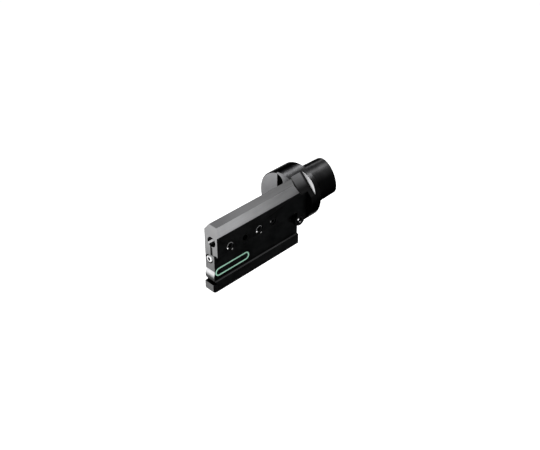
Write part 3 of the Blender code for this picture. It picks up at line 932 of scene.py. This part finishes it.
@dataclass
class SideScrew:
    """Screw or plug whose head faces out of the blade side.

    Attributes:
        node: The solid it dresses.
        head_height: Height of the head, or nothing for a headless screw.
        stem_radius: Radius below the head.
        socket_radius: Radius of the key's socket, to its corners, or nothing without one.
        socket_depth: Its depth.
        socket_chamfer: Width of the chamfer at its mouth.
        edge: Radius of the outer edge.
        tip: Width of the chamfer at the tip.
        dimple: Depth of the drilled dimple of a plug without a socket.
        dimple_shape: Its flank's foot and mouth, as (radius, depth) in shares of its depth.
        highlight_rise: Heights over its middle where the painted highlight on its rim starts and is at its
            full.
        unlit_share: Share of the rim's tone below that, painted shade.
        spots: Spots of painted highlight, with their places counted from the middle of its top.
    """

    node: str
    head_height: float = 0.0
    stem_radius: float = 0.0
    socket_radius: float = 0.0
    socket_depth: float = 0.0
    socket_chamfer: float = 0.0002
    edge: float = 0.0004
    tip: float = 0.0004
    dimple: float = 0.0005
    dimple_shape: tuple[Span, Span] = ((1.0, 0.7), (1.6, 0.0))
    highlight_rise: Span = (-0.0006, 0.0014)
    unlit_share: float = 0.04
    spots: tuple[Spot, ...] = ()

    def build(self, core: Finish, rim: Finish) -> bpy.types.Object:
        """Make the dressed screw.

        Args:
            core: The finish of its top and socket.
            rim: The finish of its outer edge, which keeps its tone on its upper half as a painted highlight
                and darkens below as painted shade.

        Returns:
            The new object.
        """
        low, high = (Vector(corner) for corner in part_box(self.node))
        middle = (low + high) / 2
        radius = (high.z - low.z) / 2
        top = Vector((high.x, middle.y, middle.z))
        place = Matrix.Translation(top) @ OUT_OF_SIDE
        rings = self._socket() + rounded(radius, 0.0, self.edge) + self._stem(radius, low.x - high.x)
        spots = tuple(spot.moved(top) for spot in self.spots)
        # Painted highlight on the rim's upper half, painted shade below it
        top_highlight = Fade(Axis.Z, top.z + self.highlight_rise[0], top.z + self.highlight_rise[1], self.unlit_share, 1.0)
        inner = replace(core, name=f"{self.node}_core", spots=spots).build()
        outer = replace(rim, name=f"{self.node}_rim", spots=spots, fades=(top_highlight,)).build()
        screw = LoftedPiece(f"{self.node}_dressed", rings, place, inner, outer, radius - self.edge).build()
        stand_for(screw, self.node)
        return screw

    def _socket(self) -> list[Ring]:
        """List the rings of the key's socket or the dimple, from its bottom up to its mouth.

        Returns:
            The rings in order.
        """
        if not self.socket_radius:
            flank = [Ring(self.dimple * radius, -self.dimple * depth) for radius, depth in self.dimple_shape]
            return [Ring(0, -self.dimple), *flank]
        flat = self.socket_radius * math.cos(math.radians(30))
        return [Ring(0, -self.socket_depth - flat / 2), Ring(flat, -self.socket_depth),
                Ring(self.socket_radius, -self.socket_depth, Shape.HEXAGON),
                Ring(self.socket_radius, -self.socket_chamfer, Shape.HEXAGON),
                Ring(self.socket_radius + self.socket_chamfer, 0.0)]

    def _stem(self, radius: float, foot: float) -> list[Ring]:
        """List the rings below the top edge, down to the foot's middle.

        Args:
            radius: Radius of the head.
            foot: Height of the foot, which is below zero.

        Returns:
            The rings in order.
        """
        if not self.head_height:
            return [Ring(radius, foot + self.tip), Ring(radius - self.tip, foot), Ring(0, foot)]
        under = -self.head_height
        return [Ring(radius, under + self.tip / 2), Ring(radius - self.tip / 2, under),
                Ring(self.stem_radius, under), Ring(self.stem_radius, foot + self.tip),
                Ring(self.stem_radius - self.tip, foot), Ring(0, foot)]


@dataclass
class CoolantNozzle:
    """Tubular nozzle with a rounded rim, in the front of the block.

    Attributes:
        node: The solid it dresses.
        bore: Radius of its bore.
        rim: Radius of the rounded rim.
        steps: Facets of the rounding at the bore's mouth.
        dark_share: Share of the rounding at the mouth that takes the bore's painted shade.
    """

    node: str = "coolant_nozzle"
    bore: float = 0.0013
    rim: float = 0.0007
    steps: int = 6
    dark_share: float = 1 / 3

    def build(self, bright: bpy.types.Material, dark: bpy.types.Material) -> bpy.types.Object:
        """Make the dressed nozzle.

        Args:
            bright: The finish of its outside and rim.
            dark: The finish inside its bore, a black that stands as painted shade.

        Returns:
            The new object.
        """
        low, high = (Vector(corner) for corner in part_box(self.node))
        middle = (low + high) / 2
        radius = (high.z - low.z) / 2
        place = Matrix.Translation((middle.x, low.y, middle.z)) @ FORWARD
        foot = low.y - high.y
        angles = [math.pi / 2 * k / self.steps for k in range(self.steps + 1)]
        mouth = [Ring(self.bore + self.rim * (1 - math.cos(a)), self.rim * (math.sin(a) - 1)) for a in angles]
        rings = mouth + rounded(radius, 0.0, self.rim) + [Ring(radius, foot), Ring(self.bore, foot)]
        reach = self.bore + self.rim * self.dark_share
        nozzle = LoftedPiece("coolant_nozzle_dressed", rings, place, dark, bright, reach).build()
        stand_for(nozzle, self.node)
        return nozzle


@dataclass
class SealRing:
    """Long round-ended seal, swept along its path by Geometry Nodes.

    Attributes:
        node: The solid it dresses.
        end_steps: Points round each quarter of the path.
        section_steps: Points round the section.
        end_share: Share of half the width that each corner's radius takes.
        sharp_angle: Turn in degrees past which its mesh would show an edge.
    """

    node: str = "seal_ring"
    end_steps: int = 16
    section_steps: int = 24
    end_share: float = 0.9999
    sharp_angle: float = 60.0

    def build(self, finish: bpy.types.Material) -> bpy.types.Object:
        """Make the dressed seal.

        Args:
            finish: Its material.

        Returns:
            The new object.
        """
        low, high = (Vector(corner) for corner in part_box(self.node))
        section = high.x - low.x
        length, width = high.y - low.y - section, high.z - low.z - section
        carrier = piece("seal_ring_dressed", bpy.data.meshes.new("seal_ring_dressed"))
        modifier = carrier.modifiers.new("sweep", "NODES")
        modifier.node_group = self._tree(finish)
        values = {"Length": length, "Width": width, "Section": section / 2,
                  "End Radius": width / 2 * self.end_share}
        for item in modifier.node_group.interface.items_tree:
            if item.name in values:
                modifier[item.identifier] = values[item.name]
        mesh = evaluated_mesh(carrier)
        mesh.transform(Matrix.Translation((low + high) / 2) @ ON_SIDE)
        smooth(mesh, self.sharp_angle)
        ring = piece("seal_ring_dressed", mesh)
        stand_for(ring, self.node)
        return ring

    def _tree(self, finish: bpy.types.Material) -> bpy.types.NodeTree:
        """Make the node tree that sweeps a round section along a rectangle with rounded ends.

        Args:
            finish: The material that it sets.

        Returns:
            The new tree.
        """
        tree = bpy.data.node_groups.new("seal_sweep", "GeometryNodeTree")
        for name in ("Length", "Width", "Section", "End Radius"):
            tree.interface.new_socket(name, in_out="INPUT", socket_type="NodeSocketFloat")
        tree.interface.new_socket("Geometry", in_out="OUTPUT", socket_type="NodeSocketGeometry")
        nodes = Nodes(tree)
        sizes = nodes.add("NodeGroupInput").outputs
        path = nodes.add("GeometryNodeCurvePrimitiveQuadrilateral")
        nodes.link(sizes["Length"], path.inputs["Width"])
        nodes.link(sizes["Width"], path.inputs["Height"])
        ends = nodes.add("GeometryNodeFilletCurve", mode="POLY")
        ends.inputs["Count"].default_value = self.end_steps
        nodes.link(path.outputs["Curve"], ends.inputs["Curve"])
        nodes.link(sizes["End Radius"], ends.inputs["Radius"])
        section = nodes.add("GeometryNodeCurvePrimitiveCircle")
        section.inputs["Resolution"].default_value = self.section_steps
        nodes.link(sizes["Section"], section.inputs["Radius"])
        sweep = nodes.add("GeometryNodeCurveToMesh")
        nodes.link(ends.outputs["Curve"], sweep.inputs["Curve"])
        nodes.link(section.outputs["Curve"], sweep.inputs["Profile Curve"])
        realize = nodes.add("GeometryNodeRealizeInstances")
        nodes.link(sweep.outputs["Mesh"], realize.inputs[0])
        dress = nodes.add("GeometryNodeSetMaterial")
        dress.inputs["Material"].default_value = finish
        nodes.link(realize.outputs[0], dress.inputs["Geometry"])
        nodes.link(dress.outputs[0], nodes.add("NodeGroupOutput").inputs[0])
        return tree


def evaluated_mesh(carrier: bpy.types.Object, weld: float = 0.0000005) -> bpy.types.Mesh:
    """Turn a carrier's evaluated shape into a plain mesh facing out, and remove the carrier.

    Args:
        carrier: An object with a Geometry Nodes modifier.
        weld: Distance within which points are one point.

    Returns:
        The new mesh.
    """
    name = carrier.name
    bpy.context.view_layer.update()
    graph = bpy.context.evaluated_depsgraph_get()
    mesh = bpy.data.meshes.new_from_object(carrier.evaluated_get(graph))
    bpy.data.objects.remove(carrier, do_unlink=True)
    mesh.name = name
    bm = bmesh.new()
    bm.from_mesh(mesh)
    bmesh.ops.remove_doubles(bm, verts=bm.verts, dist=weld)
    bmesh.ops.recalc_face_normals(bm, faces=bm.faces)
    bm.to_mesh(mesh)
    bm.free()
    return mesh


@dataclass(frozen=True)
class Lamp:
    """Soft square studio lamp, seen by nothing but the surfaces it lights.

    Attributes:
        name: The lamp's name.
        place: Where it stands.
        target: What it points at.
        width: Its width and height.
        power: Its power in watts.
    """

    name: str
    place: Point
    target: Point
    width: float
    power: float

    def build(self) -> None:
        """Put the lamp in the scene."""
        data = bpy.data.lights.new(self.name, "AREA")
        data.shape = "SQUARE"
        data.size = self.width
        data.energy = self.power
        lamp = bpy.data.objects.new(self.name, data)
        bpy.context.scene.collection.objects.link(lamp)
        lamp.location = self.place
        aim = Vector(self.target) - Vector(self.place)
        lamp.rotation_euler = aim.to_track_quat("-Z", "Y").to_euler()
        lamp.visible_camera = False


@dataclass(frozen=True)
class Studio:
    """Plain pale floor, soft lamps and an even surround.

    Attributes:
        floor_drop: Distance of the floor below the tool.
        floor_reach: Half the floor's width.
        floor_tone: Grey level of the floor.
        floor_roughness: Its roughness.
        floor_specular: Its specular level.
        floor_glow: Share of white that the camera and the reflections see on it besides its light.
        surround: Strength of the surround for all other light.
        lamps: The lamps.
    """

    floor_drop: float = 0.050
    floor_reach: float = 4.0
    floor_tone: float = 0.80
    floor_roughness: float = 0.9
    floor_specular: float = 0.1
    floor_glow: float = 0.86
    surround: float = 0.18
    lamps: tuple[Lamp, ...] = (
        Lamp("key_lamp", place=(0.15, -0.36, 0.10), target=(0.012, -0.09, 0.0), width=0.11, power=0.70),
        Lamp("rear_lamp_left", place=(-0.200, 0.248, 0.308), target=(0.0, -0.012, 0.0), width=0.085,
             power=0.95),
        Lamp("rear_lamp_right", place=(0.125, 0.250, 0.342), target=(0.0, -0.012, 0.0), width=0.09,
             power=0.75),
    )

    def build(self) -> None:
        """Put the floor, the lamps and the surround in the scene."""
        self._floor()
        self._surround()
        for lamp in self.lamps:
            lamp.build()

    def _seen(self, nodes: Nodes) -> Socket:
        """Make a value that is one for a ray from the camera, a reflection or glass, and else zero.

        Args:
            nodes: The node tree.

        Returns:
            The value's socket.
        """
        path = nodes.add("ShaderNodeLightPath").outputs
        glossy = nodes.math("MAXIMUM", path["Is Glossy Ray"], path["Is Transmission Ray"])
        return nodes.math("MAXIMUM", path["Is Camera Ray"], glossy)

    def _floor(self) -> None:
        """Lay the floor, a pale matte sheet that is a little brighter where it is looked at."""
        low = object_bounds()[0]
        bm = bmesh.new()
        bmesh.ops.create_grid(bm, x_segments=1, y_segments=1, size=self.floor_reach,
                              matrix=Matrix.Translation((0, 0, low[2] - self.floor_drop)))
        mesh = bpy.data.meshes.new("floor")
        bm.to_mesh(mesh)
        bm.free()
        floor = piece("floor", mesh)
        material = bpy.data.materials.new("pale_floor")
        material.use_nodes = True
        nodes = Nodes(material.node_tree)
        shader = material.node_tree.nodes["Principled BSDF"]
        shader.inputs["Base Color"].default_value = (self.floor_tone,) * 3 + (1.0,)
        shader.inputs["Roughness"].default_value = self.floor_roughness
        shader.inputs["Specular IOR Level"].default_value = self.floor_specular
        shader.inputs["Emission Color"].default_value = WHITE
        nodes.link(nodes.math("MULTIPLY", self._seen(nodes), self.floor_glow),
                   shader.inputs["Emission Strength"])
        mesh.materials.append(material)
        floor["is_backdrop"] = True

    def _surround(self) -> None:
        """Set an even surround, white where it is looked at."""
        world = bpy.data.worlds.new("surround")
        world.use_nodes = True
        nodes = Nodes(world.node_tree)
        background = world.node_tree.nodes["Background"]
        background.inputs["Color"].default_value = WHITE
        strength = nodes.ramp(self._seen(nodes), (0.0, 1.0), self.surround, 1.0)
        nodes.link(strength, background.inputs["Strength"])
        bpy.context.scene.world = world


@dataclass(frozen=True)
class PhotoCamera:
    """Camera that sees the tool as the photograph does, from the front, the right and above.

    Attributes:
        frame_width: Width of the photograph in pixels.
        frame_height: Its height.
        focal: Focal length in pixels.
        scale: Pixels per metre at the collar's rear face.
        origin_pixel: Where the middle of that face lies in the photograph.
        sensor_width: Width of the sensor in millimetres.
        nearest: Distance from which on it sees.
        way: The way from the tool to the camera.
        level: The way across its view, which lies level.
    """

    frame_width: float = 540.0
    frame_height: float = 450.0
    focal: float = 890.0
    scale: float = 1155.0
    origin_pixel: tuple[float, float] = (300.1, 188.4)
    sensor_width: float = 36.0
    nearest: float = 0.01
    way: Point = (1, -1, 1)
    level: Point = (1, 1, 0)

    def build(self) -> None:
        """Put the camera in the scene and make it the scene's own."""
        back = Vector(self.way).normalized()
        right = Vector(self.level).normalized()
        up = back.cross(right)
        aside = (self.origin_pixel[0] - self.frame_width / 2) / self.scale
        above = (self.frame_height / 2 - self.origin_pixel[1]) / self.scale
        data = bpy.data.cameras.new("photo_camera")
        data.sensor_fit = "HORIZONTAL"
        data.sensor_width = self.sensor_width
        data.lens = self.focal / self.frame_width * self.sensor_width
        data.clip_start = self.nearest
        camera = bpy.data.objects.new("photo_camera", data)
        bpy.context.scene.collection.objects.link(camera)
        turn = Matrix((right, up, back)).transposed().to_4x4()
        place = back * (self.focal / self.scale) - right * aside - up * above
        camera.matrix_world = Matrix.Translation(place) @ turn
        bpy.context.scene.camera = camera


# Painted highlight: a glint on each clamp screw's head
CLAMP_SCREW = SideScrew(
    "clamp_screw_front", head_height=0.0032, stem_radius=0.0021, socket_radius=0.0019, socket_depth=0.0018,
    spots=(Spot((0.0, -0.0029, -0.0012), 0.0010, 0.95),))
# Clamp screws whose rims are worn edges with a painted highlight on their upper half
EDGE_WEAR_AND_SHEEN_SCREWS = (CLAMP_SCREW, replace(CLAMP_SCREW, node="clamp_screw_rear"))
SUNK_SCREWS = (
    # Painted highlights: two glints on the channel plug
    SideScrew("channel_plug", socket_radius=0.0021, socket_depth=0.0026, edge=0.0006,
              spots=(Spot((0.0, -0.0024, 0.0014), 0.0011, 0.8), Spot((0.0, -0.0002, -0.0015), 0.0011, 0.8))),
    SideScrew("jaw_set_screw", socket_radius=0.0015, socket_depth=0.0022),
    SideScrew("drill_plug", edge=0.0002),
)


def main() -> None:
    """Dress every piece of the adapter and set the studio."""
    logging.basicConfig(level=logging.INFO, format="%(name)s: %(message)s")
    bpy.context.scene.view_settings.view_transform = "Standard"
    PhotoCamera().build()
    Studio().build()
    AdapterBody().build()
    for screw in EDGE_WEAR_AND_SHEEN_SCREWS:
        screw.build(SCREW_BLACK, SCREW_EDGE)
    for screw in SUNK_SCREWS:
        screw.build(SCREW_BLACK, SCREW_BLACK)
    # The nozzle's bore is black as painted shade
    CoolantNozzle().build(STAINLESS.build(), SCREW_BLACK.build())
    SealRing().build(SEAL_GREEN.build())


if __name__ == "__main__":
    main()
